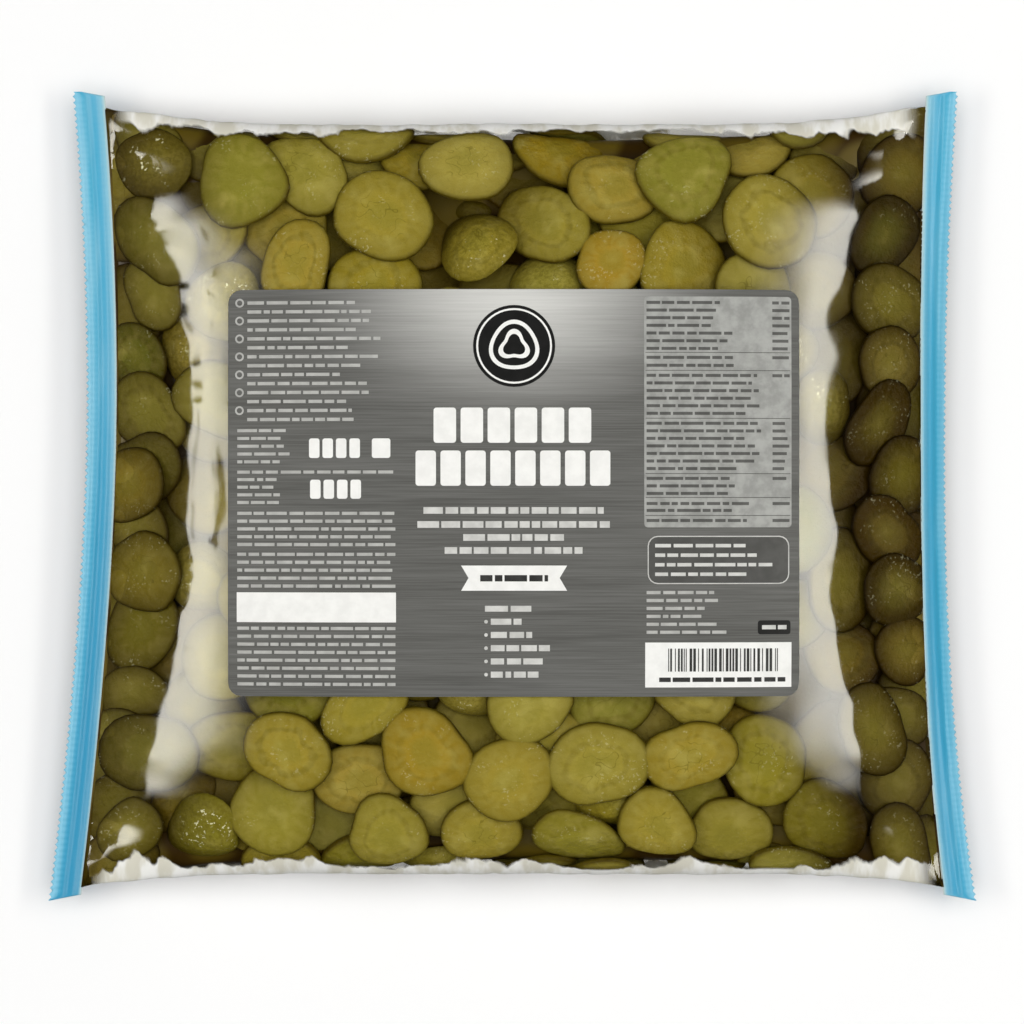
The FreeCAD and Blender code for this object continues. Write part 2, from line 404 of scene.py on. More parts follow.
def floorFinish():
    f = Finish("paleFloor")
    cloud = f.noise(f.place(), 3.0)
    pale = f.mix(cloud, rgb("F8F9FB"), rgb("FBFBFE"))
    return f.done(f.plain(Base_Color=pale, Roughness=0.9))


def makeStage():
    bpy.ops.mesh.primitive_plane_add(size=light["floorSize"])
    floor = bpy.context.object
    floor.name = "floor"
    floor.data.materials.append(floorFinish())
    floor.visible_glossy = False    # the film mirrors the two side panels only
    for side, name in ((-1, "panelLeft"), (1, "panelRight")):
        near, far = side * light["panelNear"], side * light["panelFar"][side]
        low, up, high = light["panelBottom"], light["panelTop"][side], light["panelHeight"]
        corners = [(near, low, high), (far, low, high), (far, up, high), (near, up, high)]
        mesh = bpy.data.meshes.new(name)
        mesh.from_pydata(corners, [], [(0, 1, 2, 3)])
        mesh.materials.append(panelFinish(side))
        panel = bpy.data.objects.new(name, mesh)
        panel.visible_camera = False
        scene.collection.objects.link(panel)
    top = bpy.data.objects.new("topLight", bpy.data.lights.new("topLight", "AREA"))
    top.data.size = light["topSize"]
    top.data.energy = light["topPower"]
    top.location = (0, 0, light["topHeight"])
    top.visible_glossy = False
    scene.collection.objects.link(top)
    world = bpy.data.worlds.new("studio")
    world.use_nodes = True
    sky = world.node_tree.nodes["Background"].inputs
    sky["Color"].default_value = (1, 1, 1, 1)
    sky["Strength"].default_value = light["sky"]
    scene.world = world
    world.cycles_visibility.glossy = False


view = {"lens": 182.9, "sensor": 36, "eye": (-0.0002, -0.0064, 2.015)}    # straight down


def makeCamera():
    eye = bpy.data.objects.new("camera", bpy.data.cameras.new("camera"))
    eye.data.lens = view["lens"]
    eye.data.sensor_width = view["sensor"]
    eye.location = view["eye"]
    scene.collection.objects.link(eye)
    scene.camera = eye
    scene.view_settings.view_transform = "Standard"


makeStage()
makeCamera()
print("stage, light and camera made")

# the slices, laid from the film inwards. Each rests on those before it, over most of its outline,
# so rims can still cut into a neighbour
contents = {
    "seed": 23,
    "filmGap": 1.3 * mm,       # less where there's little room
    "reach": 20 * mm,          # deepest layer that can be seen
    "deepest": 16.5 * mm,      # a slice that would lie deeper isn't laid
    "deepestBelow": 7 * mm,    # the same for the underside, further than this from a fold
    "foldZone": 30 * mm,
    "most": 760,
    "misses": 320,             # failed tries in a row that end the filling
    "smallMisses": 120,        # the same for the small pieces
    "spots": 34,               # places compared before each slice
    "leastPlaces": 30,         # of the film's grid that a slice covers
    "columns": 28,             # points round a slice
    "lean": 0.4,               # steepest tilt against the film
    "leaning": 0.007,          # how strongly a slice keeps a tilt of its own
    "press": 0.92,             # share of a slice's outline that presses on its neighbours
    "ripples": ((4, 0.022), (5, 0.018), (7, 0.010), (9, 0.006)),    # small waves of outlines
    "weldRadius": (12.5, 16.5), "weldGap": (20, 28),    # mm, in the lines along the welds
    "weldDeepest": 9 * mm,
    "smallSize": 0.62,         # of the pieces that go in the gaps left
}

# share of all slices, radius and thickness in mm, stretch, depth of the lobes
kinds = {
    "round": {"share": 0.34, "radius": (14, 20), "thick": (3.2, 4.6), "stretch": 0.07, "lobes": 0.02},
    "oval": {"share": 0.27, "radius": (13.5, 19), "thick": (3.2, 4.6), "stretch": 0.2, "lobes": 0.025},
    "lobed": {"share": 0.24, "radius": (14, 19.5), "thick": (3.4, 4.8), "stretch": 0.08, "lobes": 0.06},
    "cap": {"share": 0.15, "radius": (12, 16), "thick": (6.2, 8.2), "stretch": 0.1, "lobes": 0.04},
}

# slices that stand out: kind, x and y in mm, radius in mm, then tint from yellow 0 to green 1
# and paleness from 0 to 1
standOut = [
    ("lobed", -103, 121, 18.5, 0.75, 0.3), ("lobed", 65, 123, 18.5, 0.8, 0.3),
    ("round", -49, 107, 18.5, 0.35, 0.45), ("round", 98, 105, 18.5, 0.4, 0.6),
    ("cap", -13, 97, 15, 0.4, 0.4), ("oval", 12, 106, 17, 0.45, 0.45),
    ("round", 37, 88, 13.5, 0.0, 0.3), ("oval", 32, -103, 18, 0.45, 0.6),
    ("oval", -85, -98, 16, 0.3, 0.4), ("round", -2, -108, 17, 0.3, 0.5),
    ("round", -12, -131, 15, 0.35, 0.5), ("oval", -140, -98, 18, 0.75, 0.5),
    ("round", -147, -128, 13, 0.6, 0.3), ("round", -147, 4, 15, 0.3, 0.3),
    ("round", -141, -29, 16, 0.4, 0.3), ("oval", 138, -89, 16, 0.5, 0.4),
    ("lobed", -47, -130, 16, 0.5, 0.5), ("oval", -82, 88, 15.5, 0.2, 0.5),
    ("lobed", 55, -126, 15, 0.35, 0.5), ("oval", 68, -100, 15.5, 0.25, 0.4),
    ("oval", -137, 98, 17, 0.7, 0.4), ("cap", -138, 128, 15, 0.5, 0.6),
]


def outlineShape(kind, rng):
    # waves of the outline: count, height and phase of each
    spec = kinds[kind]
    waves = [(2, spec["stretch"] * rng.uniform(0.5, 1.1)), (3, spec["lobes"] * rng.uniform(0.6, 1.4))]
    waves += [(count, rng.uniform(0.0, most)) for count, most in contents["ripples"]]
    return [(count, height, rng.uniform(0, 2 * math.pi)) for count, height in waves]


def outlineAt(angle, waves):
    return 1 + sum(height * np.cos(count * angle + phase) for count, height, phase in waves)


def dome(kind, share):
    # how much lower than its middle a piece's top is, as a share of its thickness
    return np.clip(share, 0, 1) ** 2.3 * 0.85 if kind == "cap" else np.zeros_like(share)


class Heap:
    def __init__(self):
        self.rng = random.Random(contents["seed"])
        self.depth = np.full((rows, columns), contents["filmGap"])
        self.made = {kind: [] for kind in kinds}
        slopes = np.linspace(-1, 1, 9) * contents["lean"]
        self.slopes = np.array([(a, b) for a in slopes for b in slopes])

    def lay(self, kind, i, j, radius, tint, pale, limit):
        # rests one slice on those before it, or returns False if it would lie below the limit
        rng = self.rng
        spec = kinds[kind]
        waves = outlineShape(kind, rng)
        thick = rng.uniform(*spec["thick"]) * mm
        sa, sb = stepAlong[i, j], stepAround[i, j]
        ri, rj = int(radius * 1.3 / sa) + 1, int(radius * 1.3 / sb) + 1
        di, dj = np.meshgrid(np.arange(-ri, ri + 1), np.arange(-rj, rj + 1), indexing="ij")
        inGrid = (i + di >= 0) & (i + di < rows)
        x, y = di * sa, dj * sb
        share = np.hypot(x, y) / (radius * outlineAt(np.arctan2(y, x), waves))
        inside = (share < contents["press"]) & inGrid
        x, y, share = x[inside], y[inside], share[inside]
        gi, gj = i + di[inside], (j + dj[inside]) % columns
        if len(x) < contents["leastPlaces"]:
            return False
        drop = dome(kind, share) * thick
        need = self.depth[gi, gj] - drop
        planes = self.slopes[:, 0:1] * x + self.slopes[:, 1:2] * y
        lift = (need - planes).max(axis=1)
        wanted = np.array([rng.gauss(0, 0.5), rng.gauss(0, 0.5)]) * contents["lean"]
        cost = lift + contents["leaning"] * np.linalg.norm(self.slopes - wanted, axis=1)
        best = int(cost.argmin())
        if lift[best] > limit:
            return False
        gx, gy = self.slopes[best]
        low = lift[best] + gx * x + gy * y + thick
        self.depth[gi, gj] = np.maximum(self.depth[gi, gj], low)
        self.made[kind].append({
            "i": i, "j": j, "radius": radius, "waves": waves, "thick": thick,
            "lift": lift[best], "slope": (gx, gy), "steps": (sa, sb),
            "tint": tint, "pale": pale, "seed": rng.uniform(0, 40)})
        return True

    def line(self):
        # slices that reach right to the welds
        rng = self.rng
        for start, turn in ((5, 1), (rows - 6, -1)):
            at = rng.randrange(8)
            while at < columns:
                kind = rng.choice(["round", "oval", "lobed", "round", "oval"])
                radius = rng.uniform(*contents["weldRadius"]) * mm
                i = start + turn * rng.randrange(0, 7)
                tint, pale = rng.triangular(0, 1, 0.5), rng.random()
                self.lay(kind, i, at, radius, tint, pale, contents["weldDeepest"])
                at += int(rng.uniform(*contents["weldGap"]) * mm / stepAround[i, at % columns])

    def fill(self, size, patience):
        rng = self.rng
        names = list(kinds)
        shares = [kinds[n]["share"] for n in names]
        count = contents["spots"]
        misses = 0
        while sum(map(len, self.made.values())) < contents["most"] and misses < patience:
            # the emptiest of some random places
            spots = [(rng.randrange(2, rows - 2), rng.randrange(columns)) for _ in range(count)]
            depths = []
            for i, j in spots:
                near = self.depth[max(i - 7, 0):i + 8:3].take(range(j - 7, j + 8, 3), axis=1, mode="wrap")
                depths.append(near.mean() + 0.3 * self.depth[i, j])
            i, j = spots[int(np.argmin(depths))]
            kind = rng.choices(names, shares)[0]
            radius = rng.triangular(*kinds[kind]["radius"], sum(kinds[kind]["radius"]) / 2 + 0.6) * size * mm
            tint, pale = rng.triangular(0, 1, 0.36), rng.random()
            below = not onTop[i, j] and foldAway[i, j] >= contents["foldZone"]
            limit = contents["deepestBelow" if below else "deepest"]
            laid = self.lay(kind, i, j, radius, tint, pale, limit)
            misses = 0 if laid else misses + 1


# a slice's section, from the middle of its face round to the middle of its back:
# share of the radius, share of the thickness, share of skin
sliceSection = [
    (0.0, 0.0, 0), (0.2, 0.0, 0), (0.4, 0.0, 0), (0.58, 0.0, 0), (0.74, 0.0, 0), (0.87, 0.015, 0),
    (0.95, 0.06, 0), (0.99, 0.17, 0.35), (1.01, 0.35, 1), (1.015, 0.6, 1), (0.995, 0.84, 1),
    (0.94, 0.97, 0.5), (0.7, 1.0, 0), (0.0, 1.0, 0)]
capSection = [
    (0.0, 0.0, 1), (0.18, 0.02, 1), (0.36, 0.08, 1), (0.52, 0.19, 1), (0.67, 0.34, 1), (0.8, 0.52, 1),
    (0.9, 0.69, 1), (0.965, 0.82, 1), (1.0, 0.91, 1), (0.985, 0.98, 0.6), (0.7, 1.0, 0), (0.0, 1.0, 0)]


def slicePoints(kind, one):
    # one slice's points under the film, with what its finish needs at each
    section = np.array(capSection if kind == "cap" else sliceSection)
    count = contents["columns"]
    angle = np.arange(count) / count * 2 * math.pi
    between = len(section) - 2
    angle = np.concatenate([[0], np.tile(angle, between), [0]])
    share, drop, skin = np.repeat(section, [1] + [count] * between + [1], axis=0).T
    radius = one["radius"] * outlineAt(angle, one["waves"])
    x, y = share * radius * np.cos(angle), share * radius * np.sin(angle)
    seeds = np.full(len(x), one["seed"])
    rough = noiseField(np.stack([x, y, seeds * mm], axis=1), 6 * mm, one["seed"])
    lobes = np.cos(3 * angle + one["waves"][1][2]) * np.exp(-((share - 0.5) / 0.2) ** 2)
    face = (1 - drop) * np.clip((1 - share) * 8, 0, 1)
    crown = 0.55 * np.clip(1 - share ** 2, 0, 1)
    relief = (0.45 * rough + 0.22 * lobes + crown - 0.3 * np.exp(-(share / 0.3) ** 2)) * mm * face
    if kind == "cap":
        relief = 0.9 * rough * mm * np.clip(1.2 - drop, 0, 1)
    depth = one["lift"] + one["slope"][0] * x + one["slope"][1] * y + drop * one["thick"]
    depth = np.maximum(depth - relief + 0.25 * mm * (drop < 0.5), contents["filmGap"] * 0.5)
    points = underFilm(one["i"] + x / one["steps"][0], one["j"] + y / one["steps"][1], depth)
    place = np.stack([share * np.cos(angle), share * np.sin(angle), seeds], axis=1)
    tone = np.stack([np.full(len(x), one["tint"]), np.full(len(x), one["pale"]), skin], axis=1)
    return points, place, tone, depth / contents["reach"]


def sliceFaces(kind):
    count = contents["columns"]
    between = len(capSection if kind == "cap" else sliceSection) - 2
    last = 1 + between * count
    faces = [(1 + k, 1 + (k + 1) % count, 0) for k in range(count)]
    faces += (np.roll(gridFaces(between, count, True), -1, axis=1) + 1).tolist()
    faces += [(last, last - count + (k + 1) % count, last - count + k) for k in range(count)]
    return faces


pickle = {
    "yellow": "A88414", "olive": "9C8B20", "green": "788024", "pale": "C2B560",
    "skinAndEdgeShade": "6B5F14", "skinDark": "322106", "brine": "3E2B03", "ring": "6E6218",
    "middle": "8C8430", "paintedGlint": "EFEDC4", "shade": "6A5A26", "roughness": 0.34,
    # painted shade: darker towards the welds, where the film is steeper and less lit, and most of all on the
    # right: where it starts and ends, how much
    "leftEnd": (-0.1, -0.142), "leftShade": 0.66,
    "rightEnd": (0.092, 0.136), "rightShade": 0.86,
}


def pickleFinish():
    def tone(name):
        return rgb(pickle[name])

    f = Finish("pickleFlesh")
    place = f.attribute("place", "Vector")
    tint, pale, skin = f.split(f.attribute("tone", "Vector"))
    sunk, domed = f.attribute("sunk"), f.attribute("domed")
    x, y, seed = f.split(place)
    here = f.place()
    wander = f.noise(place, 1.9, 2.0)
    cloud = f.noise(here, 120, 2.0, 0.5)
    grain = f.noise(here, 620, 3.0, 0.65)
    span = (x * x + y * y) ** 0.5
    share = span + (wander - 0.5) * 0.5
    body = f.ramp(tint, [(0, tone("yellow")), (0.4, tone("olive")), (1, tone("green"))])
    body = f.mix(pale * 0.5, body, tone("pale"))
    # a wandering ring round a mottled middle, fainter on some slices than on others
    often = f.step((seed * 3.7).maths("FRACT"), 0.15, 0.8)
    ring = f.step(share, 0.46, 0.56) * f.step(share, 0.68, 0.6)
    colour = f.mix(ring * often * 0.45, body, tone("ring"))
    # fine spokes of flesh from the ring outwards
    turn = y.maths("ARCTAN2", x)
    spokes = (turn * 13 + wander * 16).maths("SINE") * 0.5 + 0.5
    outer = f.step(span, 0.35, 0.6) * f.step(span, 0.95, 0.8)
    colour = f.mix(spokes * outer * (1 - domed) * 0.22, colour, tone("pale"))
    colour = f.mix(f.step(share, 0.5, 0.2) * 0.45, colour, tone("middle"))
    colour = f.mix(f.step(cloud, 0.48, 0.75) * 0.45, colour, tone("pale"))
    colour = f.mix(f.step(grain, 0.5, 0.8) * 0.18, colour, tone("pale"))
    # a fine crack near the middle of some slices
    some = f.step((seed * 5.3).maths("FRACT"), 0.5, 0.6)
    crack = f.step((f.noise(place, 2.6, 1.0) - 0.5).maths("ABSOLUTE"), 0.013, 0.003)
    colour = f.mix(crack * some * f.step(share, 0.55, 0.4) * 0.5, colour, tone("ring"))
    # painted shade: flesh is darker towards its edge, and the skin is a thin dark line
    colour = f.mix(f.step(span, 0.3, 1.05) * 0.5, colour, tone("skinAndEdgeShade"))
    rind = f.mix(cloud, tone("skinDark"), tone("skinAndEdgeShade"))
    line = f.step(span, 0.89, 0.985) * 0.58 + f.step(skin, 0.1, 0.6) * 0.38
    colour = f.mix(line * (1 - domed), colour, rind)
    colour = f.mix(domed * skin * f.step(grain, 0.6, 0.35) * 0.4, colour, tone("skinAndEdgeShade"))
    # deeper under the film the slices turn brown: the brine's tint, and painted shade
    colour = f.mix(f.step(sunk, 0.1, 0.9) * 0.8, colour, tone("brine"))
    # painted shade towards the welds, stronger at each slice's edge and a little different on each slice
    alongPouch = f.split(here)[0]
    own = (seed * 2.9).maths("FRACT")
    ends = f.step(alongPouch, *pickle["leftEnd"]) * pickle["leftShade"]
    ends = ends + f.step(alongPouch, *pickle["rightEnd"]) * pickle["rightShade"]
    ends = ends * (0.46 + span * 0.55 + own * 0.35)
    colour = f.mix(ends, colour, f.mix(1.0, colour, tone("shade"), "MULTIPLY"))
    # painted highlights: clusters of tiny wet glints
    cluster = f.step(wander, 0.52, 0.66) * (0.2 + domed * 0.8)
    glint = f.step(f.noise(here, 900, 1.0), 0.6, 0.68)
    colour = f.mix(cluster * glint * f.step(sunk, 0.4, 0.1), colour, tone("paintedGlint"))
    surface = f.plain(
        Base_Color=colour, Roughness=pickle["roughness"], Specular_IOR_Level=0.12,
        Normal=f.bump(grain + cloud * 2.0, 0.6, 0.001))
    return f.done(surface)


def placeInGrid(x, y):
    # the film's grid place above a point of the plan
    away = np.hypot(rings[:, :, 0] - x, rings[:, :, 1] - y) + (~onTop) * 1.0
    return np.unravel_index(int(away.argmin()), away.shape)


def makeContents():
    finish = pickleFinish()
    heap = Heap()
    for kind, x, y, radius, tint, pale in standOut:
        i, j = placeInGrid(x * mm, y * mm)
        heap.lay(kind, int(i), int(j), radius * mm, tint, pale, contents["reach"])
    heap.line()
    heap.fill(1.0, contents["misses"])
    heap.fill(contents["smallSize"], contents["smallMisses"])
    for kind, made in heap.made.items():
        name = "slices_end" if kind == "cap" else "slices_" + kind
        shapes = [slicePoints(kind, one) for one in made]
        points, places, tones, depths = (np.concatenate(part) for part in zip(*shapes))
        starts = range(0, len(points), len(shapes[0][0]))
        faces = [tuple(start + v for v in face) for start in starts for face in sliceFaces(kind)]
        domed = np.full(len(points), 1.0 if kind == "cap" else 0.0)
        attributes = {"place": places, "tone": tones, "sunk": depths, "domed": domed}
        makePiece(name, points, faces, finish, attributes)
        print(name, len(made), "pieces,", sum(len(f) - 2 for f in faces), "triangles")


makeContents()

brine = {
    "depth": 19.5 * mm,
    "foldDepth": 8 * mm,    # nearer the film at the folds, so that nothing shows through there
    "foldReach": 22 * mm,
    "lump": 0.12, "lumpSize": 14 * mm,
    "stride": 3,
    "dark": "241702", "light": "463105", "rounds": "6A5A18",
}


def makeBrine():
    f = Finish("brine")
    # painted shade: the core's dark brown is the brine's colour, darkened for the shade in the gaps between
    # the slices
    tone = f.mix(f.noise(f.place(), 60, 3.0), rgb(brine["dark"]), rgb(brine["light"]))
    # dim rounds stand in for the slices deeper in the brine, painted dim for the shade down there
    inputs = {"Vector": f.place(), "Scale": 34.0}
    cells = f.node("ShaderNodeTexVoronoi", {"feature": "F1"}, inputs, "Distance")
    tone = f.mix(f.step(cells, 0.56, 0.4) * 0.75, tone, rgb(brine["rounds"]))
    finish = f.done(f.plain(Base_Color=tone, Roughness=0.3))
    i = np.arange(0, rows, brine["stride"])
    j = np.arange(0, columns, brine["stride"])
    gi, gj = np.meshgrid(i, j, indexing="ij")
    lumps = noiseField(rings[gi, gj].reshape(-1, 3), brine["lumpSize"], 3).reshape(gi.shape)
    lumps = 1 - brine["lump"] * lumps
    nearFold = np.exp(-(foldAway[gi, gj] / brine["foldReach"]) ** 2)
    depth = brine["depth"] + (brine["foldDepth"] - brine["depth"]) * nearFold
    points = underFilm(gi.astype(float), gj.astype(float), depth * lumps)
    faces = gridFaces(len(i), len(j), True)
    makePiece("brine_core", points.reshape(-1, 3), faces, finish)


makeBrine()
print("brine made")

# the film: soft waves all over, pleats across the folds and the welds
film = {
    "wave": 0.42 * mm, "waveSize": 46 * mm,
    "foldPleat": 0.75 * mm, "foldReach": 17 * mm,
    "bandWave": 0.22 * mm, "bandSize": 19 * mm,    # shorter waves where the side panels are mirrored
    "bandStart": (96 * mm, 118 * mm), "bandEnd": (150 * mm, 138 * mm),
    "weldPleat": 0.8 * mm, "weldReach": 24 * mm,
    "gloss": 0.088, "glossMore": 0.6,      # share mirrored straight on, and growth towards grazing
    "roughness": 0.06,
    "crushed": "FAFAF7", "crushedShade": "DEDBCD",
    "rim": 9.5,            # mm of crushed film at each side of a fold, painted white as its reflection
    "rimWander": 30,       # mm that its border wanders
    "rimLeast": (8.0, 5.5),    # it fades out between these at its narrowest
    "crushedZone": 26 * mm,
}


def filmPoints():
    def waviness(stretch, size, seed):
        return noiseField((rings * stretch).reshape(-1, 3), size, seed).reshape(rows, columns)

    sideways = abs(rings[:, :, 0])
    band = smoothStep(*film["bandStart"], sideways) * smoothStep(*film["bandEnd"], sideways)
    waves = waviness(1, film["waveSize"], 5) + 0.35 * waviness(1, film["waveSize"] / 2.7, 6)
    waves += band * waviness(1, film["bandSize"], 11) * film["bandWave"] / film["wave"]
    across = waviness((1, 0.28, 0.28), 11 * mm, 7) + 0.35 * waviness((1, 0.28, 0.28), 5 * mm, 8)
    along = waviness((0.3, 1, 1), 9 * mm, 9)
    nearFold = np.exp(-(foldAway / film["foldReach"]) ** 2)
    nearWeld = np.exp(-(weldAway / film["weldReach"]) ** 2) * smoothStep(0, 5 * mm, weldAway)
    ends = smoothStep(0, 8 * mm, weldAway)
    push = waves * film["wave"] * ends + np.abs(across) * film["foldPleat"] * nearFold * ends
    push = push + along * film["weldPleat"] * nearWeld
    return rings + ringNormals * push[..., None]


def clearWindow(f):
    facing = f.node("ShaderNodeLayerWeight", inputs={"Blend": 0.5}, output="Facing")
    mirror = f.node("ShaderNodeBsdfGlossy", inputs={"Color": (1, 1, 1), "Roughness": film["roughness"]})
    return f.blend(facing ** 5 * film["glossMore"] + film["gloss"], f.clear(), mirror)


def filmFinish():
    f = Finish("clearFilm")
    return f.done(clearWindow(f))


def crushedFinish():
    f = Finish("crushedFilmSheen")
    away, weld = f.split(f.attribute("away", "Vector"))[:2]
    here = f.place()
    x, y, z = f.split(here)
    slanted = f.node("ShaderNodeCombineXYZ", inputs={0: x * 52 + y * 34, 1: y * 26, 2: z * 24})
    border = f.noise(slanted, 1.0, 3.0, 0.5)
    folds = f.noise(f.stretched(here, (150, 45, 45)), 1.0, 3.0, 0.55)
    reach = away + (border - 0.5) * film["rimWander"] + (folds - 0.5) * 8
    # painted reflection and painted shade: the film near the folds is painted white for the glare of its
    # crinkles, greyer in their hollows
    crushed = f.step(reach, film["rim"] + 1.1, film["rim"] - 1.1)
    crushed = crushed.maths("MAXIMUM", f.step(away, *film["rimLeast"]))
    shade = f.mix(f.step(folds, 0.62, 0.36), rgb(film["crushed"]), rgb(film["crushedShade"]))
    white = f.plain(Base_Color=shade, Roughness=0.3, Normal=f.bump(folds, 0.35, 0.0015))
    return f.done(f.blend(crushed * f.step(weld, 4, 14) * 0.94, clearWindow(f), white))


filmShape = filmPoints()
away = np.stack([foldAway, weldAway, np.zeros_like(foldAway)], axis=2) / mm    # for the rim
filmFaces = gridFaces(rows, columns, True)
clearFaces = filmFaces[foldAway.ravel()[filmFaces[:, 0]] > film["crushedZone"]]
rimFaces = filmFaces[foldAway.ravel()[filmFaces[:, 0]] <= film["crushedZone"]]
filmTree = BVHTree.FromPolygons(filmShape.reshape(-1, 3).tolist(), filmFaces.tolist())


def makeFilm():
    faces = np.concatenate([clearFaces, rimFaces])
    piece = makePiece("film", filmShape.reshape(-1, 3), faces, filmFinish(),
                      {"away": away.reshape(-1, 3)}, ("pouch_body",))
    piece.data.materials.append(crushedFinish())
    piece.data.polygons.foreach_set("material_index", [0] * len(clearFaces) + [1] * len(rimFaces))
    print("film made,", 2 * len(filmFaces), "triangles")


makeFilm()

# the lap seam along the middle of the back
seam = {"half": 5.9 * mm, "out": 0.25 * mm, "ribs": 1500, "white": "EFEDE4", "shade": "D8D4C4"}


def makeSeam():
    f = Finish("seamFilm")
    ribs = (f.split(f.place())[0] * seam["ribs"]).maths("SINE")
    haze = f.streaks((60, 300, 60))
    tone = f.mix(haze, rgb(seam["shade"]), rgb(seam["white"]))
    white = f.plain(Base_Color=tone, Roughness=0.35, Normal=f.bump(ribs, 0.4, 0.0004))
    finish = f.done(f.blend(haze * 0.5 + 0.2, f.clear(), white))
    i, j = np.arange(2, rows - 2), np.arange(-4, 5)
    gi, gj = np.meshgrid(i, j, indexing="ij")
    wide = gj / 4 * seam["half"] / stepAround[gi, 0]
    points = underFilm(gi.astype(float), wide, np.full(gi.shape, -seam["out"]))
    makePiece("back_lap", points.reshape(-1, 3), gridFaces(len(i), len(j)), finish,
              replaces=("back_seam",))


makeSeam()
print("seam made")

# the printed welds at both ends, with their toothed outer edges
seal = {
    "overFilm": 0.7 * mm,                 # how far a weld reaches over the film
    "rowStep": 0.6 * mm, "across": 17,    # its rows, and points across each
    "stripes": [(0.0, "86C8E4"), (0.14, "6FBEDE"), (0.36, "3FA8CC"), (0.55, "45A9CF"), (0.7, "58AFD2"),
                (0.86, "7ABCD6"), (0.95, "AECFD6"), (1.0, "CCD8D6")],
    "deep": "1F8CB8", "cloud": "A4D3E4",
}


def sealFinish():
    f = Finish("sealPrint")
    share = f.attribute("across")
    x, y = f.split(f.place())[:2]
    # cyan print whose stripes across the weld also paint the light and shade of its ribs, with a painted
    # highlight along the inner edge
    stripes = f.ramp(share, [(place, rgb(code)) for place, code in seal["stripes"]])
    cloud = f.streaks((90, 14, 30))
    deeper = f.step(y, 0.13, -0.09) * f.step(share, 0.05, 0.5) * f.step(share, 1.0, 0.85)
    side = f.step(x, 0.05, -0.05) * 0.4 + 0.35    # more of it on the left
    colour = f.mix(deeper * side, stripes, rgb(seal["deep"]))
    colour = f.mix(f.step(cloud, 0.45, 0.8) * 0.3, colour, rgb(seal["cloud"]))
    fine = f.streaks((500, 60, 100), 2.0)
    return f.done(f.plain(Base_Color=colour, Roughness=0.32, Specular_IOR_Level=0.4,
                          Normal=f.bump(fine, 0.15, 0.0006)))


def fillGaps(grid):
    # heights that a ray missed take their neighbours' values
    known = ~np.isnan(grid)
    good = np.flatnonzero(known.sum(axis=1) >= 3)
    places = np.arange(grid.shape[1])
    for row in range(len(grid)):
        source = good[abs(good - row).argmin()]
        grid[row] = np.interp(places, places[known[source]], grid[source][known[source]])
    return grid


def makeSeal(node, name, side, finish):
    points, edges, tree = readMesh(node)
    low, high = points[:, 1].min() + 0.02 * mm, points[:, 1].max() - 0.02 * mm
    places = np.arange(low, high, seal["rowStep"])
    share = np.linspace(0, 1, seal["across"])
    plan, top, under = [], [], []
    for y in places:
        ends = extremes(points, edges, 1, y)
        outer, inner = ends if side < 0 else ends[::-1]
        inner -= side * seal["overFilm"]
        x = outer + share * (inner - outer)
        plan.append(np.stack([x, np.full_like(x, y)], axis=1))
        for skin, start, way in ((top, 0.1, -1), (under, -0.1, 1)):
            hits = [tree.ray_cast(Vector((px, y, start)), Vector((0, 0, way)))[0] for px in x]
            skin.append([hit.z if hit else np.nan for hit in hits])
    upper, lower = (np.dstack([np.array(plan), fillGaps(np.array(skin))]) for skin in (top, under))
    grid = np.concatenate([upper, lower[:, ::-1]], axis=1)
    shares = np.tile(np.concatenate([share, share[::-1]]), len(places))
    around = 2 * seal["across"]
    faces = gridFaces(len(grid), around, True).tolist()
    faces += [list(range(around))[::-1], list(range((len(grid) - 1) * around, len(grid) * around))]
    if side < 0:
        faces = [face[::-1] for face in faces]
    makePiece(name, grid.reshape(-1, 3), faces, finish, {"across": shares}, (node,))


sealInk = sealFinish()
makeSeal("end_seal_left", "weld_left", -1, sealInk)
makeSeal("end_seal_right", "weld_right", 1, sealInk)
print("welds made")

# the print on the film. Sizes are mm from the middle of the panel, and words are plain bars
panel = {
    "middle": (0.4, 0.8), "half": (108.3, 77.0), "corner": 5.0,
    "lift": 0.1 * mm, "layer": 0.06 * mm,
    "steel": "595956", "steelLight": "D2D2CF",
    "seed": 5,
}
wordRows = {
    # left, right, first row, row step, rows, height of a bar
    "left list": (-100.9, -50, 72.0, 3.4, 14, 1.25),
    "left short list": (-104.7, -84, 23.6, 2.95, 5, 1.15),
    "left row": (-104.7, -45, 7.9, 2.9, 1, 1.15),
    "left second list": (-104.7, -86, 5.1, 2.9, 4, 1.15),
    "left block": (-104.7, -44.6, -7.7, 2.95, 5, 1.2),
    "left lower block": (-104.7, -44.6, -23.2, 3.0, 5, 1.2),
    "left last block": (-104.7, -44.6, -51.2, 3.02, 8, 1.2),
    "use heading": (-10.8, 8.5, -43.7, 3.0, 1, 2.2),
    "address": (50.2, 86.5, -37.6, 3.0, 6, 1.2),
}
# first row, row step, rows, longest row
tableRows = [(72.0, 2.9, 7, 34), (51.2, 3.0, 2, 38), (44.4, 2.87, 6, 45), (26.3, 2.85, 7, 44),
             (5.5, 2.85, 3, 36), (-4.0, 2.6, 2, 40), (-10.4, 2.6, 1, 38)]
tableLines = [53.1, 46.3, 28.2, 7.3, -1.7, -8.5]
middleRows = [(-6.6, 34), (-11.9, 36.3), (-16.8, 19), (-21.7, 26)]    # height, half the length
useEnds = [3, 7, 14, 11, 10]    # right ends of the short list below the ribbon
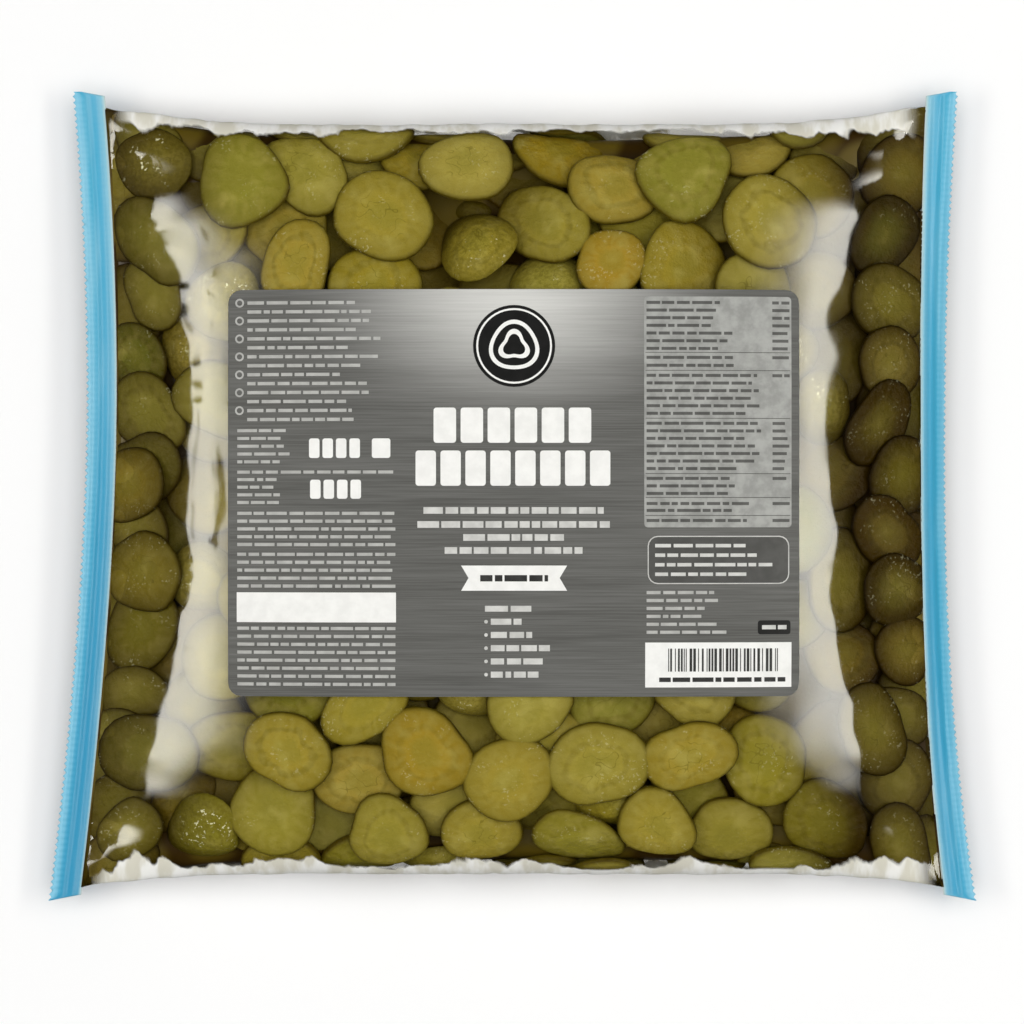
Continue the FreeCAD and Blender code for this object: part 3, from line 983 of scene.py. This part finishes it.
# plain blocks for figures and headline: left end, blocks, width, lower and upper edge, gap, corner
blockRows = [
    (-77.3, 4, 4.0, 13.2, 20.6, 1.1, 0.9), (-76.9, 4, 4.0, -2.2, 5.0, 1.1, 0.9),
    (-53.5, 1, 7.0, 13.2, 20.6, 1.1, 0.9),
    (-30.2, 6, 8.5, 18.9, 32.2, 1.7, 1.1), (-37.0, 8, 7.7, 2.7, 16.0, 1.7, 1.1)]
whiteFields = [(-104.9, -44.4, -48.9, -37.6), (49.7, 105.3, -73.5, -56.5)]    # left, right, low, high
ribbon = [(-36.9, -19.8, 20.2), (-32.1, -17.0, 17.4), (-27.4, -19.8, 20.2)]
badge = {"middle": (0.2, 55.5), "radius": 15.5,
         "rings": [(14.3, 0.95, 0.0), (9.4, 0.84, 0.06), (5.4, 0.7, 0.2)]}    # radius, hole, lobes
barcode = {"left": 58.4, "right": 101.0, "low": -67.5, "high": -58.8,
           "bars": (0.35, 0.35, 0.7, 1.0), "gaps": (0.4, 0.4, 0.8, 1.1)}
# piece: layers above the panel, name of its ink, colour, its other shade, slot
printLayers = {
    "print_table": (1, "tablePrint", "90918E", "A9AAA7", "panel_print"),
    "print_words": (2, "lightInk", "D2D2CF", "BDBDBA", "pale_print"),
    "print_small": (2, "smallInk", "A6A6A3", "B8B8B5", "pale_print"),
    "print_notes": (3, "tableInk", "50504E", "5E5E5C", "dark_print"),
    "print_white": (2, "whiteInk", "F2F2F0", "E9E9E7", "pale_print"),
    "print_dark": (3, "darkInk", "2E2E2D", "3A3A39", "dark_print"),
    "print_boxes": (1, "blackInk", "161616", "1D1D1D", "dark_print"),
    "print_box_inside": (2.5, "boxInk", "4A4A48", "545452", "dark_print"),
    "print_box_words": (3, "boxLight", "D2D2CF", "C4C4C1", "pale_print"),
}


def fieldRows(left, right, low, high, corner, step=3.0):
    # rows of a field with rounded corners: height, left end and right end of each
    turns = np.linspace(0, math.pi / 2, 5) if corner > 0.6 else [0]
    corner = corner if corner > 0.6 else 0
    result = []
    for turn in turns:
        cut = corner * (1 - math.sin(turn))
        result.append((low + corner * (1 - math.cos(turn)), left + cut, right - cut))
    inner = high - low - 2 * corner
    steps = max(1, int(inner / step))
    for k in range(1, steps):
        result.append((low + corner + inner * k / steps, left, right))
    for y, a, b in reversed(result[:len(turns)]):
        result.append((low + high - y, a, b))
    return result


class PrintLayer:
    # fields of one ink, joined into one piece that lies on the film
    def __init__(self, name, lift, finish, slot):
        self.name, self.lift, self.finish, self.slot = name, lift, finish, slot
        self.points, self.faces, self.place = [], [], []

    def rowsOf(self, fieldRowList, step=3.0):
        widest = max(b - a for _, a, b in fieldRowList)
        count = max(2, int(widest / step) + 2)
        start = len(self.points)
        for y, a, b in fieldRowList:
            for k in range(count):
                self.points.append((a + (b - a) * k / (count - 1), y))
        self.faces += (gridFaces(len(fieldRowList), count)[:, ::-1] + start).tolist()

    def field(self, left, right, low, high, corner=0.0):
        self.rowsOf(fieldRows(left, right, low, high, corner))

    def disc(self, x, y, radius, hole=0.0, lobes=0.0, turns=48):
        start = len(self.points)
        shares = np.linspace(hole, 1, 6)
        for share in shares:
            for k in range(turns):
                angle = 2 * math.pi * k / turns
                reach = share * radius * (1 + lobes * math.cos(3 * angle + 1.57))
                self.points.append((x + reach * math.cos(angle), y + reach * math.sin(angle)))
        self.faces += (gridFaces(len(shares), turns, True) + start).tolist()

    def words(self, rng, left, right, y, height):
        x = left
        while x < right - 1.2:
            length = min(rng.triangular(1.8, 9.5, 4.5), right - x)
            self.field(x, x + length, y - height / 2, y + height / 2)
            x += length + rng.uniform(0.7, 1.1)

    def make(self):
        middle = panel["middle"]
        placed = []
        for x, y in self.points:
            px, py = (x + middle[0]) * mm, (y + middle[1]) * mm
            hit = filmTree.ray_cast(Vector((px, py, 0.2)), Vector((0, 0, -1)))[0]
            placed.append((px, py, hit.z + self.lift))
        makePiece(self.name, placed, self.faces, self.finish)


def inkFinish(name, code, other):
    f = Finish(name)
    cloud = f.streaks((180, 180, 60), 3.0, 0.6)
    colour = f.mix(f.step(cloud, 0.3, 0.7), rgb(code), rgb(other))
    return f.done(f.plain(Base_Color=colour, Roughness=0.45, Specular_IOR_Level=0.25))


def steelFinish():
    f = Finish("steelPrint")
    x, y = f.split(f.place())[:2]
    brushed = f.streaks((22, 1500, 40), 3.0, 0.7)
    wide = f.streaks((9, 160, 20), 2.0)
    across, down = x / 0.095, (y - 0.076) / 0.062
    away = (across * across + down * down) ** 0.5
    glow = f.step(away, 1.0, 0.0) ** 1.5
    colour = f.mix(glow, rgb(panel["steel"]), rgb(panel["steelLight"]))
    streaks = f.step(brushed, 0.3, 0.7) * 0.65 + f.step(wide, 0.3, 0.7) * 0.35
    darker = f.mix(1.0, colour, (0.86, 0.86, 0.86), "MULTIPLY")
    colour = f.mix(streaks, darker, f.mix(0.06, colour, (1, 1, 1)))
    return f.done(f.plain(Base_Color=colour, Roughness=0.5, Specular_IOR_Level=0.2))


def makePrint():
    rng = random.Random(panel["seed"])
    half = panel["half"]
    base = PrintLayer("print_panel", panel["lift"], steelFinish(), "panel_print")
    base.field(-half[0], half[0], -half[1], half[1], panel["corner"])
    layers = []
    for name, (height, ink, code, other, slot) in printLayers.items():
        lift = panel["lift"] + height * panel["layer"]
        layers.append(PrintLayer(name, lift, inkFinish(ink, code, other), slot))
    table, pale, small, notes, white, dark, black, box, boxWords = layers

    table.field(49.3, 105.3, -13.0, 74.3, 1.4)
    for name, (left, right, first, step, count, height) in wordRows.items():
        for k in range(count):
            short = 0 if "block" in name or count == 1 else rng.uniform(0, 16 if right - left > 30 else 5)
            layer = pale if name == "use heading" else small
            layer.words(rng, left, right - short, first - k * step, height)
            if name == "left list" and k % 2 == 0:
                small.disc(left - 3.0, first - k * step, 1.7, hole=0.6, turns=20)
    for y, wide in middleRows:
        pale.words(rng, -wide, wide, y, 2.5)
    for k, end in enumerate(useEnds):
        pale.words(rng, -8.6, end, -48.6 - 5.0 * k, 2.3)
        pale.disc(-10.4, -48.6 - 5.0 * k, 0.7, turns=14)
    for left, count, wide, low, high, gap, corner in blockRows:
        for k in range(count):
            at = left + k * (wide + gap)
            white.field(at, at + wide, low, high, corner)
    for place in whiteFields:
        white.field(*place)
    white.rowsOf(ribbon)
    dark.words(rng, -12.6, 13.0, -32.2, 2.4)

    # a plain round badge with a slice on it
    black.disc(*badge["middle"], badge["radius"])
    for ring in badge["rings"]:
        white.disc(*badge["middle"], *ring)

    for first, step, count, length in tableRows:
        for k in range(count):
            short = rng.uniform(0, 9)
            notes.words(rng, 50.2, 50.2 + length - short, first - k * step, 1.15)
            if k == 0 or count == 7:
                notes.words(rng, 98.0, 104.6, first - k * step, 1.15)
    for y in tableLines:
        notes.field(49.8, 104.8, y - 0.12, y + 0.12)
    pale.field(50.6, 104.4, -34.4, -16.2, 3.8)
    box.field(51.0, 104.0, -34.0, -16.6, 3.5)
    for k in range(4):
        boxWords.words(rng, 53.4, 98.0 - rng.uniform(0, 12), -19.9 - 3.6 * k, 1.3)
    black.field(92.4, 104.9, -53.5, -48.2, 1.0)
    pale.words(rng, 94.0, 103.4, -50.8, 1.6)

    x = barcode["left"]
    while x < barcode["right"]:
        wide = rng.choice(barcode["bars"])
        dark.field(x, x + wide, barcode["low"], barcode["high"])
        x += wide + rng.choice(barcode["gaps"])
    dark.words(rng, 55.0, 103.0, -70.6, 1.7)
    for made in (base, *layers):
        made.make()
    return sum(len(made.faces) for made in (base, *layers))


print("print made,", makePrint(), "fields")
